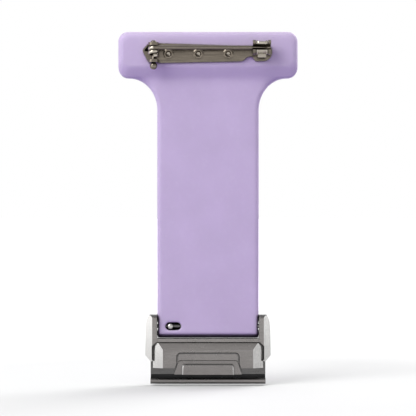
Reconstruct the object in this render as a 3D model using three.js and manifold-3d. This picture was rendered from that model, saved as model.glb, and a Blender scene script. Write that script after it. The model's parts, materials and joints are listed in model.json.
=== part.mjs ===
// A pin-on fob strap for a wrist-watch module: a moulded silicone T with a brooch bar on its back,
// and a sprung metal watch adapter that swings on a quick-release spring bar at its lower end.
// Millimetres. +Z runs up the strap, -Y is the face that is seen in wear, +Y is the garment side.
// The origin is the middle of the head bar's back face, where the brooch is seated.

import * as THREE from "three";
import { mergeVertices } from "three/addons/utils/BufferGeometryUtils.js";
import Module from "manifold-3d";

const wasm = await Module();
wasm.setup();

// ---- driving dimensions ----

const GAP = 0.05; // between faces of separate pieces that rest on each other
const RUN = 0.06; // radial clearance of a running fit
const OVER = 1; // how far a cutter runs past the face that it cuts

const HEAD = { halfX: 19.6, halfZ: 5, front: -6.4, back: 0, corner: 1.9, bevel: 1.3, bevelDepth: 1 };
const STRAP = { front: -4.6, back: -1.6, half: 11.1, end: -61.85, bevel: 0.9, frontNose: 0.9, backNose: 1.3 };
const NECK = { headX: 18.2, headZ: -5.1, flareX: 13.4, flareZ: -5.4, straightZ: -12.5, pullZ: -7.6 };
const INSERT = { halfX: 15.5, halfZ: 3, front: -3.3, back: -2.5, corner: 1 };

const BAR = { y: (STRAP.front + STRAP.back) / 2, z: -59.4, tubeR: 0.9, boreR: 0.68, tubeHalf: 10.6 };
const TIP = { r: 0.45, end: 12.2, bodyR: 0.58, pressR: 0.6, pressEnd: -7, chamfer: 0.12, holeEnd: 12.7 };
const KNOB = { x: 8.25, r: 0.6, top: -1.45, stemR: 0.31, stemDepth: 0.2, collarR: 0.5 };
const WINDOW = { x: 7.6, half: 1.7, halfZ: 0.88 };

const SEAT = { x: [-14.2, 14.7], z: [-3.65, 3], depth: 0.15 };
const BROOCH = { floor: HEAD.back - SEAT.depth + GAP, sheet: 0.6, endX: -8.2, endBottom: -1.6, endTop: 1.75 };
const EAR = { x: [10.7, 12.9], bottom: -1.95, top: 2.35, r: 1.15 };
const PAD = { x: -11.95, z: 0.45, r: 2 };
const PLATE_TOP = BROOCH.floor + BROOCH.sheet;
const AXLE = { x: 11.8, y: 2.2, r: 0.42 };
const NEEDLE = { r: 0.45, y: 3, z: 1.2, tip: -12.9, tipR: 0.04, taper: 4 };
const CATCH = { x: [-13.6, -9.7], cheek: 0.6, boreR: 0.74, tubeR: 1.1, cheekR: 1.65, slotHalf: 0.58 };
const SLEEVE = { r: 1.55, side: 0.07, tabR: 2.15, tabHalf: 0.25, tabInset: 0.3, tabRoot: 0.2 };
const NOSE = { x: 14.1, z: 0.4, hollowDepth: 0.3 };
const NOSE_HOLLOW = [[12.95, 0.5], [13.85, 0.62], [13.8, 0.95], [12.95, 1.95]]; // corners in X and Z
const RIVET = { xs: [8.6, 2.1, -4.4], z: 0.05, shankR: 0.7, headR: 1.15, headH: 0.45, tailR: 1.05 };
const RIVET_TAIL = 0.35; // thickness of the spread tail behind the insert plate

const LUG = {
  inner: 11.15,
  outer: 13.75,
  top: -56.9,
  front: -5.4,
  back: -0.8,
  tipR: 0.9,
  // The curve of its outer side: how far in from the outer face, and how far below the top.
  shoulder: [[0.9, -1], [0.85, 0], [0.4, 0.8], [0.18, 1.7], [0.06, 3.2], [0, 5.5]],
};
const LEDGE = { top: -62.05, bottom: -62.8 };
const FRAME = { bottom: -67, wall: 1.15, pocketHalf: 12.28, chamfer: 1.2, chamferRise: 2.3, backBevel: 1.55 };
const SCREW = { x: 10.5, z: -64.8, headR: 0.85, seatR: 1.14, shankR: 0.6, sink: 0.55, headH: 0.5, end: -1.6 };
const CROSS = { reach: 0.52, slotHalf: 0.14, depth: 0.3 };
const TONGUE = { halfX: 12.6, innerX: 12.2, top: -63.7, sheet: 0.75, proud: 0.22, faceTop: -67.15, end: -72 };
const LIP = { top: -70.8, back: -1.75, nose: 0.85, groove: 0.8, grooveDepth: 0.3 };
const COVER = { halfX: 12.05, top: -63.02, bottom: -68.5, back: -0.6, front: -3.28, corner: 0.9 };
const COVER_FLAT = { halfX: 9.85, top: -64.45, sideDrop: 1.1, topDrop: 0.5 };
const SCOOP = { halfX: 6.9, top: -65.05, depth: 0.4, corner: 1 };
const CAVITY = { halfX: 8.6, top: -63.65, back: -1.25 };
const LATCH = { y: -2.28, z: -64.55, axleR: 0.4, axleHalf: 8.9, eyeR: 0.72, eyeInner: 3 };
const WEB = { halfX: 8.2, sheet: 0.55, bottom: -67.5, springGapHalf: 2.9 };
const TAB = { top: -66.9, bottom: -69.9, topHalf: 6.4, bottomHalf: 7.4, base: -1.95, rim: -1.3, corner: 0.6 };
const THUMB_PAD = { top: -67.6, topHalf: 5.6, bottomHalf: 5.75, face: -0.72, draft: 0.25 };

// ---- materials ----

const material = (color, roughness, metalness) =>
  new THREE.MeshStandardMaterial({ color, roughness, metalness });
const LILAC = material(0xbfa8d6, 0.55, 0);
const BRUSHED = material(0x9a9691, 0.35, 1);
const POLISHED = material(0xb4b0aa, 0.18, 1);
const NICKEL = material(0x8f8879, 0.25, 1);

// ---- helpers ----

// A closed three.js geometry as a manifold-3d solid.
function solid(geometry) {
  const bare = geometry.index ? geometry.toNonIndexed() : geometry.clone();
  for (const name of ["normal", "uv"]) bare.deleteAttribute(name);
  const merged = mergeVertices(bare, 1e-4);
  const index = merged.index.array;
  const kept = [];
  for (let i = 0; i < index.length; i += 3) {
    const [a, b, c] = index.slice(i, i + 3);
    if (a !== b && b !== c && c !== a) kept.push(a, b, c);
  }
  return new wasm.Manifold(
    new wasm.Mesh({
      numProp: 3,
      vertProperties: new Float32Array(merged.attributes.position.array),
      triVerts: new Uint32Array(kept),
    }),
  );
}

// A manifold-3d solid as a three.js geometry.
function geometryOf(made) {
  const mesh = made.getMesh();
  const geometry = new THREE.BufferGeometry();
  geometry.setAttribute("position", new THREE.BufferAttribute(new Float32Array(mesh.vertProperties), 3));
  geometry.setIndex(new THREE.BufferAttribute(new Uint32Array(mesh.triVerts), 1));
  geometry.computeVertexNormals();
  return geometry;
}

const join = (first, ...rest) => rest.reduce((sum, piece) => sum.add(piece), first);
const cut = (first, ...rest) => rest.reduce((left, piece) => left.subtract(piece), first);

function box([x0, x1], [y0, y1], [z0, z1]) {
  const made = new THREE.BoxGeometry(x1 - x0, y1 - y0, z1 - z0);
  return solid(made.translate((x0 + x1) / 2, (y0 + y1) / 2, (z0 + z1) / 2));
}

// A straight-edged outline through [u, v] corners.
const outline = (corners) => new THREE.Shape(corners.map(([u, v]) => new THREE.Vector2(u, v)));

function roundedRectangle(halfU, halfV, radius) {
  const shape = new THREE.Shape();
  shape.moveTo(halfU, radius - halfV);
  shape.lineTo(halfU, halfV - radius);
  shape.absarc(halfU - radius, halfV - radius, radius, 0, Math.PI / 2);
  shape.absarc(radius - halfU, halfV - radius, radius, Math.PI / 2, Math.PI);
  shape.absarc(radius - halfU, radius - halfV, radius, Math.PI, 1.5 * Math.PI);
  shape.absarc(halfU - radius, radius - halfV, radius, 1.5 * Math.PI, 2 * Math.PI);
  return shape;
}

// A rectangle about the Z axis whose two upper corners are cut off at 45 degrees.
const clippedRectangle = (halfX, bottom, top, corner) =>
  outline([
    [-halfX, bottom],
    [halfX, bottom],
    [halfX, top - corner],
    [halfX - corner, top],
    [corner - halfX, top],
    [-halfX, top - corner],
  ]);

// A trapezium about the Z axis with two round upper corners.
function tabOutline({ top, bottom, topHalf, bottomHalf }, corner) {
  const lean = ((bottomHalf - topHalf) * corner) / (top - bottom);
  const shape = new THREE.Shape();
  shape.moveTo(-bottomHalf, bottom);
  shape.lineTo(bottomHalf, bottom);
  shape.lineTo(topHalf + lean, top - corner);
  shape.quadraticCurveTo(topHalf, top, topHalf - corner, top);
  shape.lineTo(corner - topHalf, top);
  shape.quadraticCurveTo(-topHalf, top, -topHalf - lean, top - corner);
  return shape;
}

// An outline in X and Z, filled from front to back along Y. Its two rims can be bevelled inwards.
function slabY(shape, front, back, bevel = 0, bevelDepth = bevel, curveSegments = 8) {
  const made = new THREE.ExtrudeGeometry(shape, {
    depth: back - front - 2 * bevelDepth,
    curveSegments,
    bevelEnabled: bevel > 0,
    bevelSize: bevel,
    bevelOffset: -bevel,
    bevelThickness: bevelDepth,
    bevelSegments: 3,
  });
  return solid(made.rotateX(Math.PI / 2).translate(0, back - bevelDepth, 0));
}

// An outline in Y and Z, filled from x0 to x1.
function slabX(shape, x0, x1, curveSegments = 8) {
  const made = new THREE.ExtrudeGeometry(shape, { depth: x1 - x0, bevelEnabled: false, curveSegments });
  const turn = new THREE.Matrix4().set(0, 0, 1, x0, 1, 0, 0, 0, 0, 1, 0, 0, 0, 0, 0, 1);
  return solid(made.applyMatrix4(turn));
}

// An outline in X and Y, filled from z0 to z1.
function slabZ(shape, z0, z1, curveSegments = 8) {
  const made = new THREE.ExtrudeGeometry(shape, { depth: z1 - z0, bevelEnabled: false, curveSegments });
  return solid(made.translate(0, 0, z0));
}

// A turned piece about X, Y or Z through [a, b], the other two coordinates in X, Y, Z order.
// The profile is [distance along the axis, radius] from one end to the other.
function turned(axis, [a, b], profile, segments = 24) {
  const closed = [[profile[0][0], 0], ...profile, [profile.at(-1)[0], 0]];
  const points = closed.map(([along, r]) => new THREE.Vector2(r, along));
  const made = new THREE.LatheGeometry(points, segments);
  if (axis === "x") made.rotateZ(-Math.PI / 2).translate(0, a, b);
  if (axis === "y") made.translate(a, 0, b);
  if (axis === "z") made.rotateX(Math.PI / 2).translate(a, b, 0);
  return solid(made);
}

const rod = (axis, at, r, [from, to], segments = 24) => turned(axis, at, [[from, r], [to, r]], segments);

// A round wire along a curve, with closed ends.
function wire(curve, radius, steps, sides) {
  const section = new THREE.Shape().absarc(0, 0, radius, 0, 2 * Math.PI);
  const along = { extrudePath: curve, steps, curveSegments: sides, bevelEnabled: false };
  return solid(new THREE.ExtrudeGeometry(section, along));
}

// A coil about an axis along X through [y, z], which turns steadily from start to end.
class CoilX extends THREE.Curve {
  constructor({ start, end, y, z, radius, turns, phase = 0 }) {
    super();
    Object.assign(this, { start, end, y, z, radius, turns, phase });
  }
  getPoint(t, target = new THREE.Vector3()) {
    const angle = this.phase + 2 * Math.PI * this.turns * t;
    return target.set(
      this.start + (this.end - this.start) * t,
      this.y + this.radius * Math.cos(angle),
      this.z + this.radius * Math.sin(angle),
    );
  }
}

const part = new THREE.Group();

function addNode(name, made, finish) {
  const mesh = new THREE.Mesh(geometryOf(made), finish);
  mesh.name = name;
  part.add(mesh);
}

// ---- silicone T ----

function strapOutline() {
  const inHead = HEAD.halfZ - 2;
  const beyond = STRAP.end - 3;
  const { headX, headZ, flareX, flareZ, straightZ, pullZ } = NECK;
  const shape = new THREE.Shape();
  shape.moveTo(-headX, inHead);
  shape.lineTo(-headX, headZ);
  shape.bezierCurveTo(-flareX, flareZ, -STRAP.half, pullZ, -STRAP.half, straightZ);
  shape.lineTo(-STRAP.half, beyond);
  shape.lineTo(STRAP.half, beyond);
  shape.lineTo(STRAP.half, straightZ);
  shape.bezierCurveTo(STRAP.half, pullZ, flareX, flareZ, headX, headZ);
  shape.lineTo(headX, inHead);
  return shape;
}

// The strap's end seen along X, with two round corners so that the adapter can swing round it.
function noseOutline() {
  const { front, back, end, frontNose, backNose } = STRAP;
  const shape = new THREE.Shape();
  shape.moveTo(front, HEAD.halfZ);
  shape.lineTo(front, end + frontNose);
  shape.absarc(front + frontNose, end + frontNose, frontNose, Math.PI, 1.5 * Math.PI);
  shape.absarc(back - backNose, end + backNose, backNose, 1.5 * Math.PI, 2 * Math.PI);
  shape.lineTo(back, HEAD.halfZ);
  return shape;
}

function fobStrap() {
  const head = slabY(
    roundedRectangle(HEAD.halfX, HEAD.halfZ, HEAD.corner),
    HEAD.front,
    HEAD.back,
    HEAD.bevel,
    HEAD.bevelDepth,
  );
  const longWeb = slabY(strapOutline(), STRAP.front, STRAP.back, STRAP.bevel);
  const web = longWeb.intersect(slabX(noseOutline(), -NECK.headX, NECK.headX));
  const barHole = rod("x", [BAR.y, BAR.z], BAR.tubeR + GAP, [-STRAP.half - OVER, STRAP.half + OVER]);
  const stadium = roundedRectangle(WINDOW.half, WINDOW.halfZ, WINDOW.halfZ - 0.01);
  const knobWindow = slabY(stadium, BAR.y, STRAP.back + OVER).translate([WINDOW.x, 0, BAR.z]);
  const insertPocket = box(
    [-INSERT.halfX - GAP, INSERT.halfX + GAP],
    [INSERT.front - GAP, INSERT.back + GAP],
    [-INSERT.halfZ - GAP, INSERT.halfZ + GAP],
  );
  const broochSeat = box(SEAT.x, [HEAD.back - SEAT.depth, OVER], SEAT.z);
  const tailFloor = INSERT.front - RIVET_TAIL - 2 * GAP;
  const rivetHoles = RIVET.xs.flatMap((x) => [
    rod("y", [x, RIVET.z], RIVET.shankR + GAP, [INSERT.front, OVER], 16),
    rod("y", [x, RIVET.z], RIVET.tailR + GAP, [tailFloor, INSERT.front], 16),
  ]);
  return cut(join(head, web), barHole, knobWindow, broochSeat, insertPocket, ...rivetHoles);
}

function insertPlate() {
  const plate = slabY(roundedRectangle(INSERT.halfX, INSERT.halfZ, INSERT.corner), INSERT.front, INSERT.back);
  const through = [INSERT.front - OVER, INSERT.back + OVER];
  return cut(plate, ...RIVET.xs.map((x) => rod("y", [x, RIVET.z], RIVET.shankR + GAP, through, 16)));
}

// ---- brooch bar ----

// The stamped plate: a pointed nose with a hollow past the hinge ears, a narrow neck and a round pad under
// the catch.
function broochPlateOutline() {
  const { endX, endBottom, endTop } = BROOCH;
  const neck = { x: endX - 1.4, bottom: PAD.z - 0.95, top: PAD.z + 1.3 };
  const shape = new THREE.Shape();
  shape.moveTo(neck.x, neck.bottom);
  shape.quadraticCurveTo(endX - 0.3, neck.bottom, endX + 0.2, endBottom + 0.5);
  shape.quadraticCurveTo(endX + 0.5, endBottom, endX + 1.3, endBottom);
  shape.lineTo(EAR.x[0], EAR.bottom);
  shape.lineTo(EAR.x[1], EAR.bottom);
  shape.lineTo(NOSE.x, NOSE.z);
  shape.quadraticCurveTo(NOSE.x + 0.2, NOSE.z + 0.6, NOSE.x - 0.2, NOSE.z + 0.9);
  shape.lineTo(EAR.x[1], EAR.top);
  shape.lineTo(EAR.x[0], EAR.top);
  shape.lineTo(endX, endTop);
  shape.lineTo(neck.x, neck.top);
  shape.lineTo(PAD.x + 0.6, PAD.z + PAD.r);
  shape.lineTo(PAD.x, PAD.z + PAD.r);
  shape.absarc(PAD.x, PAD.z, PAD.r, Math.PI / 2, 1.5 * Math.PI);
  shape.lineTo(neck.x - 0.75, PAD.z - PAD.r);
  return shape;
}

// One hinge ear: a tab folded up from the plate's edge, round about the hinge pin.
function hingeEar(z0, z1) {
  const [x0, x1] = EAR.x;
  const shape = new THREE.Shape();
  shape.moveTo(x0, BROOCH.floor);
  shape.lineTo(x1, BROOCH.floor);
  shape.absarc(AXLE.x, AXLE.y, EAR.r, -0.2, Math.PI + 0.2);
  return slabZ(shape, z0, z1);
}

function broochBasePlate() {
  const { floor, sheet } = BROOCH;
  const plate = slabY(broochPlateOutline(), floor, PLATE_TOP);
  const ears = [hingeEar(EAR.top - sheet, EAR.top), hingeEar(EAR.bottom, EAR.bottom + sheet)];
  const axis = [NEEDLE.y, NEEDLE.z];
  const [outer, inner] = CATCH.x;
  const tube = rod("x", axis, CATCH.tubeR, [outer, inner]);
  const cheekFoot = [PAD.z - 0.5, PAD.z + 1.4];
  const cheeks = [[outer, outer + CATCH.cheek], [inner - CATCH.cheek, inner]].flatMap((span) => [
    rod("x", axis, CATCH.cheekR, span),
    box(span, [floor + 0.1, NEEDLE.y - CATCH.tubeR], cheekFoot),
  ]);
  const bore = rod("x", axis, CATCH.boreR, [outer - OVER, inner + OVER]);
  const slot = box(
    [outer - OVER, inner + OVER],
    [NEEDLE.y, NEEDLE.y + CATCH.cheekR + OVER],
    [NEEDLE.z - CATCH.slotHalf, NEEDLE.z + CATCH.slotHalf],
  );
  const pinHole = rod("z", [AXLE.x, AXLE.y], AXLE.r + RUN, [EAR.bottom - OVER, EAR.top + OVER]);
  const rivetHoles = RIVET.xs.map((x) =>
    rod("y", [x, RIVET.z], RIVET.shankR + GAP, [floor - OVER, PLATE_TOP + OVER], 16),
  );
  const hollow = slabY(outline(NOSE_HOLLOW), PLATE_TOP - NOSE.hollowDepth, PLATE_TOP + OVER);
  return cut(join(plate, ...ears, tube, ...cheeks), bore, slot, pinHole, hollow, ...rivetHoles);
}

// The rotating locking sleeve, turned to its open place so that its slot lines up with the catch's.
function lockingSleeve() {
  const { side, tabInset, tabRoot } = SLEEVE;
  const span = [CATCH.x[0] + CATCH.cheek + side, CATCH.x[1] - CATCH.cheek - side];
  const axis = [NEEDLE.y, NEEDLE.z];
  const barrel = rod("x", axis, SLEEVE.r, span);
  const tab = box(
    [span[0] + tabInset, span[1] - tabInset],
    [NEEDLE.y - SLEEVE.tabHalf, NEEDLE.y + SLEEVE.tabHalf],
    [NEEDLE.z - SLEEVE.tabR, NEEDLE.z - SLEEVE.r + tabRoot],
  );
  const bore = rod("x", axis, CATCH.tubeR + RUN, [span[0] - OVER, span[1] + OVER]);
  const slot = box(
    [span[0] - OVER, span[1] + OVER],
    [NEEDLE.y, NEEDLE.y + SLEEVE.r + OVER],
    [NEEDLE.z - CATCH.slotHalf - GAP, NEEDLE.z + CATCH.slotHalf + GAP],
  );
  return cut(join(barrel, tab), bore, slot);
}

// The pin wire: an eye about the hinge pin, a straight shank and a ground point.
function broochNeedle() {
  const endPlay = 2 * GAP;
  const eyeSpan = [EAR.bottom + BROOCH.sheet + endPlay, EAR.top - BROOCH.sheet - endPlay];
  const wireR = NEEDLE.r;
  const eyeR = NEEDLE.y - AXLE.y + wireR;
  const eye = rod("z", [AXLE.x, AXLE.y], eyeR, eyeSpan);
  const shank = turned(
    "x",
    [NEEDLE.y, NEEDLE.z],
    [[NEEDLE.tip, NEEDLE.tipR], [NEEDLE.tip + NEEDLE.taper, wireR], [AXLE.x, wireR]],
  );
  const heel = box([AXLE.x, AXLE.x + 1.6], [AXLE.y - 0.3, AXLE.y + 0.5], [-0.4, 1.2]);
  const hole = rod("z", [AXLE.x, AXLE.y], AXLE.r + RUN, [eyeSpan[0] - OVER, eyeSpan[1] + OVER]);
  return cut(join(eye, shank, heel), hole);
}

// The hinge's axle: a ball head below, a small flat head above.
function hingePin() {
  const ball = { z: -2.75, r: 0.8, steps: 8, from: 0.15, to: 2.75 };
  const cap = { r: 0.62, rimHeight: 0.25, rimR: 0.5, height: 0.4, topR: 0.2 };
  const topSeat = EAR.top + GAP;
  const ballProfile = Array.from({ length: ball.steps }, (_, i) => {
    const angle = ball.from + ((ball.to - ball.from) * i) / (ball.steps - 1);
    return [ball.z - ball.r * Math.cos(angle), ball.r * Math.sin(angle)];
  });
  return turned("z", [AXLE.x, AXLE.y], [
    ...ballProfile,
    [EAR.bottom - GAP, AXLE.r],
    [topSeat, AXLE.r],
    [topSeat, cap.r],
    [topSeat + cap.rimHeight, cap.rimR],
    [topSeat + cap.height, cap.topR],
  ]);
}

// A tubular rivet: a dimpled dome on the plate, a shank, and a spread tail behind the insert plate.
function rivet(x) {
  const seat = PLATE_TOP + GAP;
  const tailSeat = INSERT.front - GAP;
  return turned("y", [x, RIVET.z], [
    [tailSeat - RIVET_TAIL, RIVET.tailR - 0.15],
    [tailSeat, RIVET.tailR],
    [tailSeat, RIVET.shankR],
    [seat, RIVET.shankR],
    [seat, RIVET.headR],
    [seat + 0.15, RIVET.headR],
    [seat + 0.36, RIVET.headR - 0.28],
    [seat + RIVET.headH, 0.62],
    [seat + RIVET.headH, 0.4],
    [seat + 0.2, 0.22],
  ], 20);
}

// ---- quick-release spring bar ----

function barTube() {
  const slotHalf = 0.66;
  return cut(
    rod("x", [BAR.y, BAR.z], BAR.tubeR, [-BAR.tubeHalf, BAR.tubeHalf]),
    rod("x", [BAR.y, BAR.z], BAR.boreR, [-BAR.tubeHalf - OVER, BAR.tubeHalf + OVER]),
    box(
      [WINDOW.x - WINDOW.half + 0.2, WINDOW.x + WINDOW.half - 0.2],
      [BAR.y, BAR.y + BAR.tubeR + OVER],
      [BAR.z - slotHalf, BAR.z + slotHalf],
    ),
  );
}

// The tip that doesn't move: pressed into the tube's end, with a shoulder and a stub for the lug.
const fixedTip = () =>
  turned("x", [BAR.y, BAR.z], [
    [-TIP.end, TIP.r - TIP.chamfer],
    [-TIP.end + TIP.chamfer, TIP.r],
    [-BAR.tubeHalf - 4 * GAP, TIP.r],
    [-BAR.tubeHalf - 4 * GAP, TIP.pressR],
    [TIP.pressEnd, TIP.pressR],
  ]);

// The tip that slides, down to the face that the spring pushes.
const PLUNGER_END = 6;

function plunger() {
  const body = turned("x", [BAR.y, BAR.z], [
    [PLUNGER_END, TIP.bodyR],
    [BAR.tubeHalf - 2 * GAP, TIP.bodyR],
    [BAR.tubeHalf - 2 * GAP, TIP.r],
    [TIP.end - TIP.chamfer, TIP.r],
    [TIP.end, TIP.r - TIP.chamfer],
  ]);
  const socket = rod("y", [KNOB.x, BAR.z], KNOB.stemR + GAP, [BAR.y - KNOB.stemDepth, BAR.y + OVER], 16);
  return cut(body, socket);
}

// The thumb knob, staked into the plunger through the tube's slot and the strap's window.
const releaseKnob = () =>
  turned("y", [KNOB.x, BAR.z], [
    [BAR.y - KNOB.stemDepth + GAP, KNOB.stemR],
    [BAR.y + 0.62, KNOB.stemR],
    [BAR.y + 0.62, KNOB.collarR],
    [KNOB.top - 0.55, KNOB.collarR],
    [KNOB.top - 0.4, KNOB.r],
    [KNOB.top - 0.12, KNOB.r],
    [KNOB.top, KNOB.r - 0.2],
  ], 20);

// The compression spring between the two.
function barSpring() {
  const wireR = 0.11;
  const play = 0.2;
  const ends = { start: TIP.pressEnd + play, end: PLUNGER_END - play };
  return wire(new CoilX({ ...ends, y: BAR.y, z: BAR.z, radius: 0.46, turns: 15 }), wireR, 180, 3);
}

// ---- watch adapter ----

// A lug and the side wall below it, seen along X: straight sides and a round nose on top.
function lugOutline() {
  const { front, back, top, tipR } = LUG;
  const shape = new THREE.Shape();
  shape.moveTo(front, FRAME.bottom);
  shape.lineTo(back, FRAME.bottom);
  shape.lineTo(back, top - tipR);
  shape.quadraticCurveTo(back, top, back - tipR, top);
  shape.lineTo(front + tipR, top);
  shape.quadraticCurveTo(front, top, front, top - tipR);
  return shape;
}

// The front frame: two lugs joined by a front wall and by the ledge above the latch housing.
function adapterFrame() {
  const { inner, outer, front, back } = LUG;
  const lugs = [slabX(lugOutline(), -outer, -inner), slabX(lugOutline(), inner, outer)];
  const across = [-outer + OVER, outer - OVER];
  const frontWall = box(across, [front, front + FRAME.wall], [FRAME.bottom, LEDGE.top]);
  const ledge = box(across, [front, back - 4 * GAP], [LEDGE.bottom, LEDGE.top]);
  const corner = (side) => {
    const under = FRAME.bottom - 0.01;
    const reach = side * (outer + OVER);
    const rise = FRAME.bottom + FRAME.chamferRise;
    const shape = outline([[side * (outer - FRAME.chamfer), under], [reach, rise], [reach, under]]);
    return slabY(shape, front - OVER, back + OVER);
  };
  const sideBevel = (side) => {
    const inX = outer - FRAME.backBevel;
    const shape = outline([
      [side * inX, back],
      [side * (outer + OVER), back - FRAME.backBevel - OVER],
      [side * (outer + OVER), back + OVER],
      [side * inX, back + OVER],
    ]);
    return slabZ(shape, FRAME.bottom - OVER, LUG.top + OVER);
  };
  const shoulder = (side) => {
    const curve = LUG.shoulder.map(([inwards, down]) => [side * (outer - inwards), LUG.top - down]);
    const beyond = side * (outer + OVER);
    const shape = outline([...curve, [beyond, curve.at(-1)[1]], [beyond, curve[0][1]]]);
    return slabY(shape, front - OVER, back + OVER);
  };
  const pocket = slabY(
    clippedRectangle(FRAME.pocketHalf, FRAME.bottom - OVER, LEDGE.bottom, COVER.corner),
    front + FRAME.wall,
    back + OVER,
  );
  const barHole = (side) => {
    const span = [side * (inner - OVER), side * TIP.holeEnd].sort((a, b) => a - b);
    return rod("x", [BAR.y, BAR.z], TIP.r + RUN, span);
  };
  const screwHole = (side) => [
    rod("y", [side * SCREW.x, SCREW.z], SCREW.seatR, [front - OVER, front + SCREW.sink], 20),
    rod("y", [side * SCREW.x, SCREW.z], SCREW.shankR + GAP, [front - OVER, front + FRAME.wall + OVER], 20),
  ];
  const cutters = [-1, 1].flatMap((side) => [
    corner(side),
    sideBevel(side),
    shoulder(side),
    barHole(side),
    ...screwHole(side),
  ]);
  return cut(join(frontWall, ledge, ...lugs), pocket, ...cutters);
}

const TONGUE_FRONT = LUG.front + FRAME.wall + GAP;
const TONGUE_BACK = TONGUE_FRONT + TONGUE.sheet;

// The tongue that enters the watch: a plate whose lower edge turns back into a hooked lip.
function adapterTongue() {
  const face = TONGUE_FRONT - TONGUE.proud;
  const shape = outline([
    [TONGUE_FRONT, TONGUE.top],
    [TONGUE_FRONT, TONGUE.faceTop + 0.02],
    [face, TONGUE.faceTop],
    [face, LIP.top + 0.1],
    [face + 0.35, TONGUE.end + 0.45],
    [face + LIP.nose, TONGUE.end],
    [LIP.back - 0.35, TONGUE.end],
    [LIP.back, TONGUE.end + 0.4],
    [LIP.back, LIP.top - 0.3],
    [LIP.back - 0.3, LIP.top],
    [TONGUE_BACK - LIP.grooveDepth, LIP.top],
    [TONGUE_BACK - LIP.grooveDepth, LIP.top + LIP.groove],
    [TONGUE_BACK, LIP.top + LIP.groove],
    [TONGUE_BACK, TONGUE.top],
  ].reverse());
  const shoulders = [-1, 1].map((side) =>
    box(
      side < 0 ? [-TONGUE.halfX - OVER, -TONGUE.innerX] : [TONGUE.innerX, TONGUE.halfX + OVER],
      [face - OVER, LIP.back + OVER],
      [TONGUE.faceTop, TONGUE.top + OVER],
    ),
  );
  const plate = cut(slabX(shape, -TONGUE.halfX, TONGUE.halfX), ...shoulders);
  const holes = [-1, 1].map((side) =>
    rod("y", [side * SCREW.x, SCREW.z], SCREW.shankR + GAP, [face - OVER, TONGUE_BACK + 0.5], 20),
  );
  return cut(plate, ...holes);
}

// The back cover: a pressed tray whose back slopes off at its top and sides, with a scoop for the fingertip
// and a window for the latch.
function adapterBackCover() {
  const { halfX, top, bottom, back, front, corner } = COVER;
  const flat = COVER_FLAT;
  const body = slabY(clippedRectangle(halfX, bottom, top, corner), front, back);
  // A wedge off the back: from the flat's edge at u0 it drops by `drop` at u1, and goes on past the rim.
  const wedge = (u0, u1, drop) => {
    const steep = drop / (u1 - u0);
    const past = u1 + Math.sign(u1 - u0) * OVER;
    return [[u0, back], [past, back - steep * (past - u0)], [past, back + OVER], [u0, back + OVER]];
  };
  const sideSlopes = [-1, 1].map((side) =>
    slabZ(outline(wedge(side * flat.halfX, side * halfX, flat.sideDrop)), bottom - OVER, top + OVER),
  );
  const topSlope = slabX(
    outline(wedge(flat.top, top, flat.topDrop).map(([z, y]) => [y, z])),
    -halfX - OVER,
    halfX + OVER,
  );
  const cavity = box([-CAVITY.halfX, CAVITY.halfX], [front - OVER, CAVITY.back], [bottom - OVER, CAVITY.top]);
  const margin = 0.25;
  const window = slabY(
    tabOutline(
      {
        top: TAB.top + margin / 2,
        bottom: bottom - OVER,
        topHalf: TAB.topHalf + margin,
        bottomHalf: TAB.bottomHalf + margin,
      },
      TAB.corner,
    ),
    CAVITY.back - OVER,
    back + OVER,
  );
  const scoopHalfZ = (SCOOP.top - TAB.top) / 2 + SCOOP.corner;
  const scoopRim = 0.35;
  const scoop = slabY(
    roundedRectangle(SCOOP.halfX, scoopHalfZ, SCOOP.corner),
    back - SCOOP.depth,
    back + OVER,
    scoopRim,
  ).translate([0, 0, SCOOP.top - scoopHalfZ]);
  const axleEnd = LATCH.axleHalf + 4 * GAP;
  const axleHole = rod("x", [LATCH.y, LATCH.z], LATCH.axleR + GAP, [-axleEnd, axleEnd], 20);
  const screwHoles = [-1, 1].map((side) =>
    rod("y", [side * SCREW.x, SCREW.z], SCREW.shankR + GAP, [front - OVER, SCREW.end + 4 * GAP], 20),
  );
  return cut(body, ...sideSlopes, topSlope, cavity, window, scoop, axleHole, ...screwHoles);
}

// The latch lever: eyes on its axle, a flat web, and a rimmed thumb tab that stands out through the cover's
// window.
function latchLever() {
  const { y, z, axleR, eyeR, eyeInner } = LATCH;
  const { halfX, springGapHalf } = WEB;
  const overlap = 0.1;
  const webFront = y - eyeR + 0.3;
  const neckHalf = TAB.topHalf - TAB.corner;
  const web = box([-halfX, halfX], [webFront, webFront + WEB.sheet], [WEB.bottom, z]);
  const neck = box([-neckHalf, neckHalf], [webFront, TAB.base + overlap], [WEB.bottom, TAB.top - overlap]);
  const rim = slabY(tabOutline(TAB, TAB.corner), TAB.base, TAB.rim);
  const thumbPad = slabY(
    tabOutline({ ...THUMB_PAD, bottom: TAB.bottom - OVER }, TAB.corner),
    TAB.rim - THUMB_PAD.draft,
    THUMB_PAD.face,
    THUMB_PAD.draft,
  ).intersect(box([-halfX, halfX], [TAB.rim - overlap, 0], [TAB.bottom, TAB.top]));
  const eyes = [[-halfX, -eyeInner], [eyeInner, halfX]].map((span) => rod("x", [y, z], eyeR, span));
  const springGap = box([-springGapHalf, springGapHalf], [webFront - OVER, y + 2], [z - 1.1, z + 2]);
  const hole = rod("x", [y, z], axleR + RUN, [-halfX - OVER, halfX + OVER]);
  return cut(join(web, neck, ...eyes, rim, thumbPad), springGap, hole);
}

const latchAxle = () => rod("x", [LATCH.y, LATCH.z], LATCH.axleR, [-LATCH.axleHalf, LATCH.axleHalf], 20);

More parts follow.
